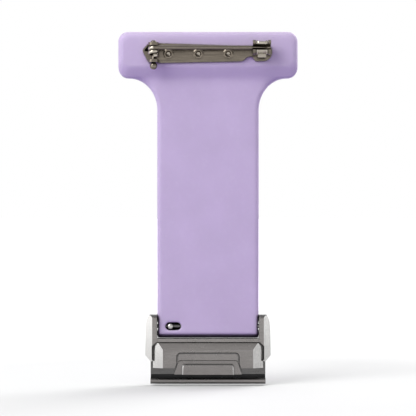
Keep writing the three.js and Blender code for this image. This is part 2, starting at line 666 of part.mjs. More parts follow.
// The torsion spring on the axle: a close coil whose two legs hang down, one on the tongue and one on the
// lever.
class TorsionSpring extends THREE.Curve {
  getPoint(t, target = new THREE.Vector3()) {
    const legShare = 0.12;
    const radius = 0.62;
    const legLength = 1.35;
    const halfWidth = 2.2;
    const turns = 6;
    const fromEnd = Math.min(t, 1 - t);
    const leg = Math.max(0, 1 - fromEnd / legShare) * legLength;
    const along = Math.min(1, Math.max(0, (t - legShare) / (1 - 2 * legShare)));
    const angle = Math.PI + 2 * Math.PI * (turns - 0.5) * along;
    return target.set(
      -halfWidth + 2 * halfWidth * along,
      LATCH.y + radius * Math.cos(angle),
      LATCH.z + radius * Math.sin(angle) - leg,
    );
  }
}

const latchSpring = () => wire(new TorsionSpring(), 0.14, 120, 3);

// A countersunk-style screw with a cross recess, in from the front frame to the back cover.
function screw(side) {
  const headFace = LUG.front + SCREW.sink - GAP - SCREW.headH;
  const headSeat = headFace + SCREW.headH;
  const body = turned("y", [side * SCREW.x, SCREW.z], [
    [headFace, SCREW.headR - 0.12],
    [headFace + 0.12, SCREW.headR],
    [headSeat, SCREW.headR],
    [headSeat, SCREW.shankR],
    [SCREW.end - 0.15, SCREW.shankR],
    [SCREW.end, SCREW.shankR - 0.15],
  ]);
  const { reach, slotHalf } = CROSS;
  const [x, z] = [side * SCREW.x, SCREW.z];
  const depth = [headFace - OVER, headFace + CROSS.depth];
  return cut(
    body,
    box([x - reach, x + reach], depth, [z - slotHalf, z + slotHalf]),
    box([x - slotHalf, x + slotHalf], depth, [z - reach, z + reach]),
  );
}

// ---- assembly ----

addNode("fob_strap", fobStrap(), LILAC);
addNode("head_insert_plate", insertPlate(), POLISHED);

addNode("brooch_base_plate", broochBasePlate(), NICKEL);
RIVET.xs.forEach((x, i) => addNode(`brooch_rivet_${i + 1}`, rivet(x), NICKEL));
addNode("brooch_hinge_pin", hingePin(), NICKEL);
addNode("brooch_needle", broochNeedle(), POLISHED);
addNode("brooch_locking_sleeve", lockingSleeve(), NICKEL);

addNode("spring_bar_tube", barTube(), POLISHED);
addNode("spring_bar_fixed_tip", fixedTip(), POLISHED);
addNode("spring_bar_plunger", plunger(), POLISHED);
addNode("spring_bar_spring", barSpring(), POLISHED);
addNode("release_knob", releaseKnob(), POLISHED);

addNode("adapter_frame", adapterFrame(), BRUSHED);
addNode("adapter_tongue", adapterTongue(), BRUSHED);
addNode("adapter_back_cover", adapterBackCover(), POLISHED);
addNode("latch_lever", latchLever(), POLISHED);
addNode("latch_axle", latchAxle(), POLISHED);
addNode("latch_spring", latchSpring(), POLISHED);
addNode("adapter_screw_left", screw(-1), POLISHED);
addNode("adapter_screw_right", screw(1), POLISHED);

export default part;
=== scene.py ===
import json
import math

import bmesh
import bpy
from mathutils import Matrix, Vector


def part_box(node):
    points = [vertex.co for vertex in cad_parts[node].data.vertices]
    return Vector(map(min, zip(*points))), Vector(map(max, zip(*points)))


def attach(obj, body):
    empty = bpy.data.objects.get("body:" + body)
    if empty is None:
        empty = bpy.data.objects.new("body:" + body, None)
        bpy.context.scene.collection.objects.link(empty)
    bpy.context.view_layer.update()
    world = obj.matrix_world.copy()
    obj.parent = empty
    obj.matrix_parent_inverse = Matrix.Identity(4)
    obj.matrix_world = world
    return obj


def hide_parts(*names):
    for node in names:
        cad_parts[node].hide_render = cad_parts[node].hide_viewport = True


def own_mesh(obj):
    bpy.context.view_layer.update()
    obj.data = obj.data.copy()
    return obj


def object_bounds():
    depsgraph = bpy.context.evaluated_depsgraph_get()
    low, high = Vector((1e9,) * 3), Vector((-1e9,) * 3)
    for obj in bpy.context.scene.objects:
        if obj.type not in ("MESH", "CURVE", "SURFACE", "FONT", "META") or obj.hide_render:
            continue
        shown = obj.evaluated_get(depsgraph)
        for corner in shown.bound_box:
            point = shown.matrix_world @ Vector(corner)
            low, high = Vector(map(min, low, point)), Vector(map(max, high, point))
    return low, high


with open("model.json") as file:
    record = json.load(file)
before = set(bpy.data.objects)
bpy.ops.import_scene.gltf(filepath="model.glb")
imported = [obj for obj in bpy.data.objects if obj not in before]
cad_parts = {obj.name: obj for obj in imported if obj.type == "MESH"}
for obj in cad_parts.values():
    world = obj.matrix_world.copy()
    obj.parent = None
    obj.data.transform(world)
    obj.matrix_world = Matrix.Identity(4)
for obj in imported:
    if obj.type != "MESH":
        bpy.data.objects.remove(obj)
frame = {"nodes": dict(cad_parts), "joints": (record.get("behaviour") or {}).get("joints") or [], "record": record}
cad_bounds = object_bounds()

# The looks of a pin-on fob strap: a soft silicone T with a nickel bar pin on its back and a brushed steel
# watch adapter on a spring bar. Shapes are drawn in millimetres in the frame's own axes, +Z up and -Y to the
# front, and every piece is brought to metres when it is finished.

MM = 0.001
# Points closer together than this, in millimetres, are one after a cut or a bevel.
CUT_GAP, BEVEL_GAP = 0.004, 0.0005
BODY_OF = {node: body for body, nodes in frame["record"]["behaviour"]["bodies"].items() for node in nodes}
JOINTS = {joint["name"]: joint for joint in frame["joints"]}


def span(node):
    """A CAD node's lowest and highest corners, in millimetres."""
    low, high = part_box(node)
    return low / MM, high / MM


def pivot(joint):
    """A hinge's place, in millimetres."""
    return Vector(JOINTS[joint]["pos_m"]) / MM


# ---- shapes ----


def placed(axis, u, v, along):
    """A point from its two coordinates across an axis, in X, Y, Z order, and its place along that axis."""
    return {"x": (along, u, v), "y": (u, along, v), "z": (u, v, along)}[axis]


def arc(centre_u, centre_v, radius, start, end, steps):
    """Points on a circle from one angle to another, in degrees, both ends included."""
    turns = [math.radians(start + (end - start) * i / steps) for i in range(steps + 1)]
    return [(centre_u + radius * math.cos(a), centre_v + radius * math.sin(a)) for a in turns]


def scaled_arc(half_u, half_v, start, end, steps):
    """Points on an ellipse about the origin, in degrees, both ends included."""
    return [(half_u * u, half_v * v) for u, v in arc(0, 0, 1, start, end, steps)]


def rounded_box(low_u, low_v, high_u, high_v, radius, steps=8):
    """The outline of a rectangle with round corners."""
    left, right = low_u + radius, high_u - radius
    bottom, top = low_v + radius, high_v - radius
    return (
        arc(right, top, radius, 0, 90, steps)
        + arc(left, top, radius, 90, 180, steps)
        + arc(left, bottom, radius, 180, 270, steps)
        + arc(right, bottom, radius, 270, 360, steps)
    )


def made_object(name, bm):
    bmesh.ops.recalc_face_normals(bm, faces=bm.faces)
    mesh = bpy.data.meshes.new(name)
    bm.to_mesh(mesh)
    bm.free()
    obj = bpy.data.objects.new(name, mesh)
    bpy.context.scene.collection.objects.link(obj)
    return obj


def loft(name, rings):
    """A closed solid through rings of points; a ring of one point is a pole."""
    bm = bmesh.new()
    loops = [[bm.verts.new(point) for point in ring] for ring in rings]
    for near, far in zip(loops, loops[1:]):
        count = max(len(near), len(far))
        for i in range(count):
            j = (i + 1) % count
            if len(near) == 1:
                bm.faces.new((near[0], far[j], far[i]))
            elif len(far) == 1:
                bm.faces.new((near[i], near[j], far[0]))
            else:
                bm.faces.new((near[i], near[j], far[j], far[i]))
    if len(loops[0]) > 1:
        bm.faces.new(loops[0])
    if len(loops[-1]) > 1:
        bm.faces.new(list(reversed(loops[-1])))
    return made_object(name, bm)


def prism(name, outline, axis, low, high):
    return loft(name, [[placed(axis, u, v, along) for u, v in outline] for along in (low, high)])


def lathe(name, axis, centre, profile, segments=64):
    """A turned solid about an axis through centre; the profile is (along, radius) from end to end."""
    rings = []
    for along, radius in profile:
        if radius == 0:
            rings.append([placed(axis, *centre, along)])
            continue
        circle = arc(*centre, radius, 0, 360, segments)[:-1]
        rings.append([placed(axis, u, v, along) for u, v in circle])
    return loft(name, rings)


def wire(name, path, radii, sides=20):
    """A round wire along a path, with a radius for each of its points."""
    path = [Vector(point) for point in path]
    side = None
    rings = []
    for i, point in enumerate(path):
        heading = (path[min(i + 1, len(path) - 1)] - path[max(i - 1, 0)]).normalized()
        if side is None:
            side = heading.orthogonal().normalized()
        side = (side - heading * side.dot(heading)).normalized()
        other = heading.cross(side)
        circle = arc(0, 0, radii[i], 0, 360, sides)[:-1]
        rings.append([point + side * u + other * v for u, v in circle])
    return loft(name, rings)


def settle(obj):
    """Gives an object the mesh that its modifiers make, and removes them."""
    depsgraph = bpy.context.evaluated_depsgraph_get()
    made = bpy.data.meshes.new_from_object(
        obj.evaluated_get(depsgraph), preserve_all_data_layers=True, depsgraph=depsgraph
    )
    obj.modifiers.clear()
    before, obj.data = obj.data, made
    bpy.data.meshes.remove(before)


def cleaned(obj, gap):
    """Joins points closer together than a gap, and drops the slivers that a cut or a bevel has left."""
    bm = bmesh.new()
    bm.from_mesh(obj.data)
    bmesh.ops.remove_doubles(bm, verts=bm.verts, dist=gap)
    bmesh.ops.dissolve_degenerate(bm, edges=bm.edges, dist=gap)
    bm.to_mesh(obj.data)
    bm.free()
    return obj


def boolean(obj, operation, *others):
    """Adds or cuts other objects, which are used up by it."""
    for other in others:
        modifier = obj.modifiers.new(operation.lower(), "BOOLEAN")
        modifier.operation = operation
        modifier.object = other
        modifier.solver = "EXACT"
    settle(obj)
    for other in others:
        bpy.data.objects.remove(other)
    return cleaned(obj, CUT_GAP)


def round_edges(obj, width, segments=3, angle=32):
    """Rounds the edges that are sharper than an angle, and keeps the flats flat in the shading."""
    bevel = obj.modifiers.new("edges", "BEVEL")
    bevel.width = width
    bevel.segments = segments
    bevel.limit_method = "ANGLE"
    bevel.angle_limit = math.radians(angle)
    bevel.miter_outer = "MITER_ARC"
    settle(obj)
    return cleaned(obj, BEVEL_GAP)


def refined(node, edge):
    """A CAD node's own shape with its flat faces joined up and its edges rounded."""
    bm = bmesh.new()
    bm.from_mesh(frame["nodes"][node].data)
    bm.transform(Matrix.Scale(1 / MM, 4))
    bmesh.ops.remove_doubles(bm, verts=bm.verts, dist=0.003)
    bmesh.ops.dissolve_limit(bm, angle_limit=math.radians(1.5), verts=bm.verts, edges=bm.edges)
    return round_edges(made_object(f"{node}_fine", bm), edge)


def finished(obj, node, slot, *materials, pick=None, angle=40):
    """Brings a piece to metres, paints it and puts it on the body of the node that it stands for."""
    mesh = obj.data
    mesh.materials.clear()
    for material in materials:
        mesh.materials.append(material)
    for face in mesh.polygons:
        face.material_index = pick(face) if pick else 0
    mesh.transform(Matrix.Scale(MM, 4))
    mesh.shade_smooth()
    mesh.set_sharp_from_angle(angle=math.radians(angle))
    weighted = obj.modifiers.new("flats", "WEIGHTED_NORMAL")
    weighted.keep_sharp = True
    weighted.weight = 100
    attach(obj, BODY_OF[node])
    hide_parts(node)
    return obj


def facing(face, *direction, share=0.99):
    return face.normal.dot(Vector(direction)) > share


# ---- materials ----


class Nodes:
    """A material's node tree, with short calls to add to it."""

    def __init__(self, name, roughness, metallic=0.0):
        self.material = bpy.data.materials.new(name)
        self.material.use_nodes = True
        self.tree = self.material.node_tree
        self.shader = self.tree.nodes["Principled BSDF"]
        self.shader.inputs["Roughness"].default_value = roughness
        self.shader.inputs["Metallic"].default_value = metallic
        self.place = self.tree.nodes.new("ShaderNodeTexCoord").outputs["Object"]

    def add(self, kind, **inputs):
        node = self.tree.nodes.new(kind)
        for name, value in inputs.items():
            self.put(node.inputs[name.replace("_", " ")], value)
        return node

    def put(self, socket, value):
        if isinstance(value, bpy.types.NodeSocket):
            self.tree.links.new(value, socket)
        else:
            socket.default_value = value

    def noise(self, per_mm, detail=3.0):
        """Noise whose grain is given for X, Y and Z, in cells per millimetre."""
        stretched = self.add("ShaderNodeMapping", Vector=self.place, Scale=[n / MM for n in per_mm])
        made = self.add("ShaderNodeTexNoise", Vector=stretched.outputs["Vector"], Scale=1.0, Detail=detail)
        return made.outputs["Fac"]

    def ranged(self, value, low, high, soft_low=0.3, soft_high=0.7):
        """Spreads a 0 to 1 value between two numbers."""
        ends = {"From_Min": soft_low, "From_Max": soft_high, "To_Min": low, "To_Max": high}
        return self.add("ShaderNodeMapRange", Value=value, **ends).outputs["Result"]

    def mixed(self, amount, first, second):
        mix = self.tree.nodes.new("ShaderNodeMix")
        mix.data_type = "RGBA"
        self.put(mix.inputs["Factor"], amount)
        self.put(mix.inputs["A"], first if isinstance(first, bpy.types.NodeSocket) else (*first, 1))
        self.put(mix.inputs["B"], second if isinstance(second, bpy.types.NodeSocket) else (*second, 1))
        return mix.outputs["Result"]

    def shade_mask(self, reach_mm):
        """Close to 1 on open surfaces and less in corners and under edges: the mask by which the materials paint
        shade there.
        """
        hidden = self.add("ShaderNodeAmbientOcclusion", Distance=reach_mm * MM)
        hidden.samples = 8
        return hidden.outputs["AO"]

    def bump(self, height, depth_mm, strength=1.0):
        made = self.add("ShaderNodeBump", Height=height, Distance=depth_mm * MM, Strength=strength)
        self.put(self.shader.inputs["Normal"], made.outputs["Normal"])

    def paint(self, **inputs):
        for name, value in inputs.items():
            self.put(self.shader.inputs[name.replace("_", " ")], value)
        return self.material


def shade(colour, factor):
    return tuple(channel * factor for channel in colour)


def silicone_material():
    """Moulded silicone: even lilac with the faintest clouding, a soft sheen and a satin pitted skin, with painted
    shade, a dark violet, in corners and under edges.
    """
    lilac, deep = (0.505, 0.42, 0.595), (0.045, 0.028, 0.062)
    made = Nodes("silicone", 0.5)
    clouds = made.noise((0.12, 0.12, 0.12), detail=2)
    skin = made.noise((5, 5, 5), detail=4)
    dust = made.noise((1.1, 1.1, 1.1), detail=6)
    made.bump(skin, 0.012, 0.55)
    colour = made.mixed(made.ranged(clouds, 0, 1), shade(lilac, 0.965), shade(lilac, 1.035))
    dusted = made.mixed(made.ranged(dust, 0, 0.05, 0.5, 0.75), colour, (0.8, 0.77, 0.86))
    # Painted shade: by the occlusion mask, the colour runs to the dark violet deep in corners and under edges.
    unshaded = made.ranged(made.shade_mask(1.2), 0, 1, 0.3, 0.75)
    return made.paint(
        Base_Color=made.mixed(unshaded, deep, dusted),
        Roughness=made.ranged(dust, 0.46, 0.6),
        Subsurface_Weight=0.12,
        Subsurface_Radius=(0.9, 0.6, 1.0),
        Subsurface_Scale=0.6 * MM,
        Specular_IOR_Level=0.28,
        Sheen_Weight=0.06,
        Sheen_Roughness=0.6,
    )


def metal_material(name, colour, grain, rough, contrast=0.14, depth=0.004, painted_shade=0.35):
    """Steel or nickel, with painted shade: its colour darkens by a share in corners and under edges. Its grain is
    in cells per millimetre of X, Y and Z, where a low number is a streak.
    """
    made = Nodes(name, rough, 1.0)
    fine = made.noise(grain, detail=4)
    broad = made.noise([n * 0.22 for n in grain], detail=2)
    smudges = made.noise((0.35, 0.35, 0.35), detail=3)
    streaks = made.mixed(made.ranged(fine, 0, 1), shade(colour, 1 - contrast), shade(colour, 1 + contrast))
    clouded = made.mixed(made.ranged(broad, 0, 0.4), streaks, shade(colour, 1 + 1.4 * contrast))
    # Painted shade: in corners and under edges the colour darkens by the given share.
    unshaded = made.ranged(made.shade_mask(0.8), 0, 1, 0.2, 0.95)
    made.bump(fine, depth, 0.5)
    return made.paint(
        Base_Color=made.mixed(unshaded, shade(colour, 1 - painted_shade), clouded),
        Roughness=made.ranged(smudges, rough * 0.88, rough * 1.15),
    )


STREAK, ACROSS = 0.14, 6.0
SILICONE = silicone_material()
BRUSHED_UP = metal_material("brushed_up", (0.25, 0.243, 0.238), (ACROSS, ACROSS, STREAK), 0.3, 0.3)
BRUSHED_ACROSS = metal_material("brushed_across", (0.4, 0.386, 0.38), (STREAK, ACROSS, ACROSS), 0.3, 0.16)
SATIN = metal_material("satin_steel", (0.225, 0.212, 0.206), (0.6, 7.0, 7.0), 0.25, 0.12)
POLISHED = metal_material("polished_steel", (0.62, 0.61, 0.6), (3.0, 3.0, 3.0), 0.13, 0.05, 0.001)
# A darker copy of the polished steel: painted shade on the adapter's side slopes that face -X.
SHADED_POLISHED = metal_material("shaded_polished_steel", (0.45, 0.443, 0.438), (3.0, 3.0, 1.5), 0.2, 0.12, 0.001)
# Dark steel: painted shade on adapter faces turned up, down or inward, on the back of the tongue and on the screws
# below their tops; also the colour of the spring bar's tube and plunger.
DARK_STEEL_AND_SHADE = metal_material("dark_steel_and_shade", (0.13, 0.127, 0.125), (0.5, 6.0, 6.0), 0.25, 0.15)
# Near-black steel: painted shadow in the frame's recesses, in the groove behind the tongue's lip and in the hollow
# of the pin's nose.
PAINTED_SHADOW = metal_material("painted_shadow_steel", (0.03, 0.03, 0.031), (0.5, 6.0, 6.0), 0.3, 0.2)
NICKEL = metal_material("warm_nickel", (0.162, 0.139, 0.113), (0.25, 3.0, 5.0), 0.2, 0.3, 0.002, 0.75)
WIRE_NICKEL = metal_material("wire_nickel", (0.15, 0.13, 0.108), (0.3, 3.0, 3.0), 0.18, 0.2, 0.001, 0.4)
# Brighter nickel: the catch's barrel, and painted highlight on the needle's coils and painted light in the rivets'
# dishes.
BRIGHT_NICKEL = metal_material("bright_nickel", (0.4, 0.362, 0.31), (1.2, 2.5, 2.5), 0.13, 0.12, 0.001, 0.7)
TURNED = metal_material("turned_steel", (0.5, 0.485, 0.47), (9.0, 0.5, 9.0), 0.2, 0.1)


# ---- silicone strap ----

STRAP_LOW, STRAP_HIGH = span("fob_strap")
BAR = pivot("adapter_swing")
STRAP_HALF_THICK, STRAP_HALF_WIDTH = 1.5, 11.14
HEAD_HALF_Z = STRAP_HIGH.z


def rounded_edge(steps=8, power=1.0):
    """(how far in from the side wall, how deep from the face) along an edge, each from 0 to 1: a quarter
    turn, or with a higher power a flatter bevel."""
    turns = [math.radians(90 * i / steps) for i in range(steps + 1)]
    return [(1 - math.sin(a) ** power, 1 - math.cos(a) ** power) for a in turns]


def head_bar():
    """The thick bar: a wide slope above its front, steeper ones below, and soft edges elsewhere."""
    front_in, front_deep, front_power = {"side": 1.0, "top": 2.9, "bottom": 1.9}, 1.7, 1.5
    back_in, back_deep, back_flatness = {"side": 1.3, "top": 1.6, "bottom": 2.5}, 1.35, 0.8
    corner, tight_corner = 2.1, 1.5

    def ring(share, bottom_share, inset, y):
        side = inset["side"] * share
        low = (STRAP_LOW.x + side, inset["bottom"] * bottom_share - HEAD_HALF_Z)
        high = (STRAP_HIGH.x - side, HEAD_HALF_Z - inset["top"] * share)
        outline = rounded_box(*low, *high, corner + (tight_corner - corner) * share)
        return [placed("y", u, v, y) for u, v in outline]

    rings = [
        ring(share, share, front_in, STRAP_LOW.y + front_deep * deep)
        for share, deep in rounded_edge(power=front_power)
    ]
    for share, deep in reversed(rounded_edge(steps=16)):
        nearly_flat = (1 - back_flatness) * share + back_flatness * (1 - deep)
        rings.append(ring(share, nearly_flat, back_in, STRAP_HIGH.y - back_deep * deep))
    return loft("silicone_strap", rings)


# The strap's end reaches a little below its CAD solid, to all but touch the adapter's ledge. FOOT is how far
# it is drawn up from there at each depth from its back face: a slope under the back, and one at the front.
FOOT_REACH = 0.14
FOOT = ((0.0, 1.1), (0.12, 0.92), (0.4, 0.76), (0.9, 0.45), (1.4, 0.15), (1.8, 0.0), (2.5, 0.0), (3.0, 0.5))


def strap_outline(inset, foot_inset):
    """The strap's outline in X and Z with its elliptical neck, shrunk at its sides and at its foot."""
    neck_wide, neck_tall, neck_z, neck_steps = 6.3, 7.0, -12.0, 20
    top_z, corner, foot_z = 2.0, 0.3, STRAP_LOW.z - FOOT_REACH + foot_inset
    turns = [math.radians(90 * i / neck_steps) for i in range(neck_steps + 1)]
    neck = [
        (
            STRAP_HALF_WIDTH + neck_wide - (neck_wide + inset) * math.sin(a),
            neck_z + (neck_tall + inset) * math.cos(a) - inset * math.cos(a) ** 6,
        )
        for a in turns
    ]
    foot = arc(STRAP_HALF_WIDTH - inset - corner, foot_z + corner, corner, 0, -90, 6)
    right = [(neck[0][0], top_z), *neck, (neck[-1][0], foot_z + 4 * corner), *foot]
    return right + [(-x, z) for x, z in reversed(right)]


def foot_inset(depth):
    """How far the strap's end is drawn up at a depth from its back face."""
    for (near, drawn_near), (far, drawn_far) in zip(FOOT, FOOT[1:]):
        if depth <= far:
            return drawn_near + (drawn_far - drawn_near) * (depth - near) / (far - near)
    return drawn_far


def strap_web():
    """The thin part, with edges down its sides that are softer at the back than at the front."""
    edge_deep, back_edge, front_edge, steps = 0.9, 1.0, 0.6, 24
    rings = []
    for i in range(steps + 1):
        depth = STRAP_HALF_THICK * (1 - math.cos(math.pi * i / steps))
        edge_in = back_edge if depth < STRAP_HALF_THICK else front_edge
        from_face = min(depth, 2 * STRAP_HALF_THICK - depth, edge_deep) / edge_deep
        outline = strap_outline(edge_in * (1 - math.sqrt(1 - (1 - from_face) ** 2)), foot_inset(depth))
        y = BAR.y + STRAP_HALF_THICK - depth
        rings.append([placed("y", x, z, y) for x, z in outline])
    return loft("web", rings)


def smooth(obj, iterations, vertex_group=""):
    """Smooths the mesh that an object's modifiers make, as far as a group's weights say, and settles it."""
    modifier = obj.modifiers.new("smooth", "SMOOTH")
    modifier.factor = 0.5
    modifier.iterations = iterations
    modifier.vertex_group = vertex_group
    settle(obj)


def fillet_under_head(strap):
    """Relaxes the mesh round the inner corner below the head's back, which leaves a soft fillet there. It
    reaches less far outside the strap's width, so that the ends of the head keep their edge."""
    corner_y, corner_z = BAR.y + STRAP_HALF_THICK, -HEAD_HALF_Z - 0.3
    reach, iterations = 2.4, 150
    near = strap.vertex_groups.new(name="near_corner")
    for vertex in strap.data.vertices:
        aside = max(0.0, abs(vertex.co.x) - STRAP_HALF_WIDTH) / 2
        away = math.hypot(vertex.co.y - corner_y, vertex.co.z - corner_z, aside) / reach
        if away < 1:
            near.add([vertex.index], 1 - away**3, "REPLACE")
    smooth(strap, iterations, near.name)
    strap.vertex_groups.clear()


def silicone_strap():
    """Head and strap in one skin, with a round tunnel for the spring bar and a long window for its knob."""
    knob_high = span("release_knob")[1]
    voxel, rough_voxel = 0.22, 0.4
    window_wide, window_tall, room_beside_knob = 3.4, 1.76, 0.45
    tunnel_radius, tunnel_end = 0.98, 12
    right, bottom = knob_high.x + room_beside_knob, BAR.z - window_tall / 2
    slot = rounded_box(right - window_wide, bottom, right, bottom + window_tall, window_tall / 2 - 0.01)
    window = prism("window", slot, "y", BAR.y, STRAP_HIGH.y)
    bore = [(-tunnel_end, tunnel_radius), (tunnel_end, tunnel_radius)]
    tunnel = lathe("tunnel", "x", (BAR.y, BAR.z), bore, 48)
    strap = boolean(head_bar(), "UNION", strap_web())
    boolean(strap, "DIFFERENCE", window, tunnel)
    skin = strap.modifiers.new("skin", "REMESH")
    skin.mode = "VOXEL"
    skin.voxel_size = voxel
    smooth(strap, 4)
    fillet_under_head(strap)
    return finished(strap, "fob_strap", "silicone", SILICONE, angle=180)


# ---- bar pin ----

HINGE = pivot("needle_open")
CATCH = pivot("sleeve_turn")
PLATE_BACK = span("brooch_base_plate")[0].y
NOSE_HOLLOW_FLOOR = (0.1, 0.5)


def rivets():
    """Tubular rivets: a low rolled rim round a deep dished mouth. The rim has the plate's nickel; the dish's floor
    and the shank are painted in the brighter nickel as painted light.
    """
    shank, edge, roll, roll_in = 0.7, 0.05, 0.26, 0.36
    dish = ((0.1, 0.62), (0.32, 0.5), (0.44, 0.34), (0.47, 0.16), (0.47, 0))
    painted_light_depth = 0.4
    for number in (1, 2, 3):
        node = f"brooch_rivet_{number}"
        low, high = span(node)
        centre = ((low.x + high.x) / 2, (low.z + high.z) / 2)
        radius, seat, top = (high.x - low.x) / 2, high.y - 0.45, high.y - 0.1
        stem = [(low.y, 0), (low.y, shank), (seat, shank), (seat, radius - edge), (seat + edge, radius)]
        turn = arc(0, 0, roll, 0, 110, 8)
        rim = [(top - roll + along, radius - roll_in + across) for across, along in turn]
        mouth = [(top - deep, across) for deep, across in dish]
        rivet = lathe(f"{node}_fine", "y", centre, stem + rim + mouth)
        painted_light_below = top - painted_light_depth
        finished(
            rivet,
            node,
            "nickel_plate",
            NICKEL,
            BRIGHT_NICKEL,
            pick=lambda face: int(face.center.y < painted_light_below),
        )


def hinge_pin():
    """The hinge's axle: a large ball head below and a small flat one above."""
    low, high = span("brooch_hinge_pin")
    ball_radius, axle_radius, cap_radius, cap_height = 0.82, 0.42, 0.62, 0.4
    ball = [(low.z + ball_radius + across, along) for across, along in arc(0, 0, ball_radius, 180, 30, 14)]
    ball[0] = (low.z, 0)
    seat = high.z - cap_height
    cap = [(seat, cap_radius), (seat + 0.12, cap_radius), (high.z - 0.06, cap_radius - 0.14)]
    crown = [(high.z, cap_radius - 0.32), (high.z, 0)]
    profile = [*ball, (seat, axle_radius), *cap, *crown]
    pin = lathe("brooch_hinge_pin_fine", "z", (HINGE.x, HINGE.y), profile)
    finished(pin, "brooch_hinge_pin", "nickel_plate", WIRE_NICKEL, angle=60)


def needle():
    """Spring wire: two coils round the hinge pin, a straight shank and a ground point. The wire at the coils is
    painted in the brighter nickel as a painted highlight.
    """
    tip = span("brooch_needle")[0].x
    shank_z, wire_radius, coil_radius, turns = CATCH.z, 0.43, 0.8, 2
    taper, shank_steps, taper_steps, point_radius = 4.2, 12, 8, 0.02
    start_z = shank_z - 2 * wire_radius * turns
    steps = 28 * turns
    path = []
    for i in range(steps + 1):
        a = math.radians(90 - 360 * turns * (1 - i / steps))
        height = start_z + (shank_z - start_z) * i / steps
        path.append((HINGE.x + coil_radius * math.cos(a), HINGE.y + coil_radius * math.sin(a), height))
    radii = [wire_radius] * len(path)
    shank_y = HINGE.y + coil_radius
    for i in range(1, shank_steps + 1):
        path.append((HINGE.x + (tip + taper - HINGE.x) * i / shank_steps, shank_y, shank_z))
        radii.append(wire_radius)
    for i in range(1, taper_steps + 1):
        to_go = 1 - i / taper_steps
        path.append((tip + taper * to_go, shank_y, shank_z))
        radii.append(wire_radius * to_go**0.7 + point_radius)
    made = wire("brooch_needle_fine", path, radii)
    painted_highlight_from = HINGE.x - coil_radius
    finished(
        made,
        "brooch_needle",
        "nickel_plate",
        WIRE_NICKEL,
        BRIGHT_NICKEL,
        pick=lambda face: int(face.center.x > painted_highlight_from),
        angle=60,
    )


def locking_sleeve():
    """A turned barrel with a waist between two rolled rims, slotted for the needle, with a thin thumb tab."""
    low, high = span("brooch_locking_sleeve")
    left, right = low.x, high.x
    radius, bore, slot_half = high.z - CATCH.z, 1.17, 0.62
    rim, waist, slope, corner = 0.55, 0.18, 0.15, 0.12
    tab_in, tab_root, tab_half, tab_corner = 0.35, 0.4, 0.22, 0.25

    def slotted_ring(x, across):
        outer, inner = (math.degrees(math.asin(slot_half / r)) for r in (across, bore))
        outline = arc(CATCH.y, CATCH.z, across, outer, 360 - outer, 56)
        outline += arc(CATCH.y, CATCH.z, bore, 360 - inner, inner, 40)
        return [placed("x", u, v, x) for u, v in outline]

    half = ((0, radius - corner), (0.1, radius), (rim - slope, radius), (rim, radius - waist))
    rings = [slotted_ring(left + inward, across) for inward, across in half]
    rings += [slotted_ring(right - inward, across) for inward, across in reversed(half)]
    barrel = round_edges(loft("brooch_locking_sleeve_fine", rings), 0.05, 2)
    tab_outline = rounded_box(left + tab_in, low.z, right - tab_in, CATCH.z - radius + tab_root, tab_corner)
    tab = prism("tab", tab_outline, "y", CATCH.y - tab_half, CATCH.y + tab_half)
    boolean(barrel, "UNION", round_edges(tab, 0.05, 2))
    finished(barrel, "brooch_locking_sleeve", "nickel_plate", BRIGHT_NICKEL)


def plate_look(face):
    """1, the near-black painted shadow, on the floor of the hollow in the plate's nose; 0 elsewhere."""
    low, high = NOSE_HOLLOW_FLOOR
    in_nose, height = face.center.x > HINGE.x + 1, face.center.y - PLATE_BACK
    return int(in_nose and facing(face, 0, 1, 0) and low < height < high)


def bar_pin():
    plate = refined("brooch_base_plate", 0.09)
    finished(plate, "brooch_base_plate", "nickel_plate", NICKEL, PAINTED_SHADOW, pick=plate_look)
    locking_sleeve()
    rivets()
    hinge_pin()
    needle()


# ---- watch adapter ----

ADAPTER_LOOKS = (POLISHED, SHADED_POLISHED, BRUSHED_UP, BRUSHED_ACROSS, SATIN, DARK_STEEL_AND_SHADE, PAINTED_SHADOW)
TONGUE_LOW, TONGUE_HIGH = span("adapter_tongue")
LIP_TOP, LIP_GROOVE = TONGUE_LOW.z + 1.2, 0.8
FRAME_FRONT = span("adapter_frame")[0].y


def metal_look(face, downward=-0.2, upward=0.3):
    """Which of ADAPTER_LOOKS a face has: brushed to the front, with near-black painted shadow on front faces set
    back from the frame's front;
    painted dark shade where it faces up, down or in towards the middle; satin where it is flat to the back;
    polished on its side slopes, with the slopes that face -X painted darker as shade."""
    if facing(face, 0, -1, 0):
        return ADAPTER_LOOKS.index(PAINTED_SHADOW if face.center.y > FRAME_FRONT + 0.1 else BRUSHED_UP)
    looks_inward = face.normal.x * face.center.x < -0.2 * abs(face.center.x)
    if looks_inward or face.normal.z < downward or face.normal.z > upward:
        return ADAPTER_LOOKS.index(DARK_STEEL_AND_SHADE)
    if abs(face.normal.x) < 0.2:
        return ADAPTER_LOOKS.index(SATIN)
    return ADAPTER_LOOKS.index(POLISHED if face.normal.x > 0 else SHADED_POLISHED)


def cover_look(face):
    """The cover's top slope is as satin as its flat."""
    return metal_look(face, upward=0.95)


def tab_look(face):
    """The thumb tab gets the painted dark shade from a gentler upward slope than the frame."""
    return metal_look(face, upward=0.2)


def tongue_look(face):
    """Brushed in front, near-black painted shadow in the groove behind its hooked lip, satin on the lip, painted
    dark shade on the rest of its back and sides.
    """
    if face.normal.y < -0.3:
        return ADAPTER_LOOKS.index(BRUSHED_ACROSS if facing(face, 0, -1, 0) else BRUSHED_UP)
    if facing(face, 0, 1, 0) and LIP_TOP < face.center.z < LIP_TOP + LIP_GROOVE:
        return ADAPTER_LOOKS.index(PAINTED_SHADOW)
    on_lip = face.center.y > TONGUE_HIGH.y - 0.1
    return ADAPTER_LOOKS.index(SATIN if on_lip else DARK_STEEL_AND_SHADE)


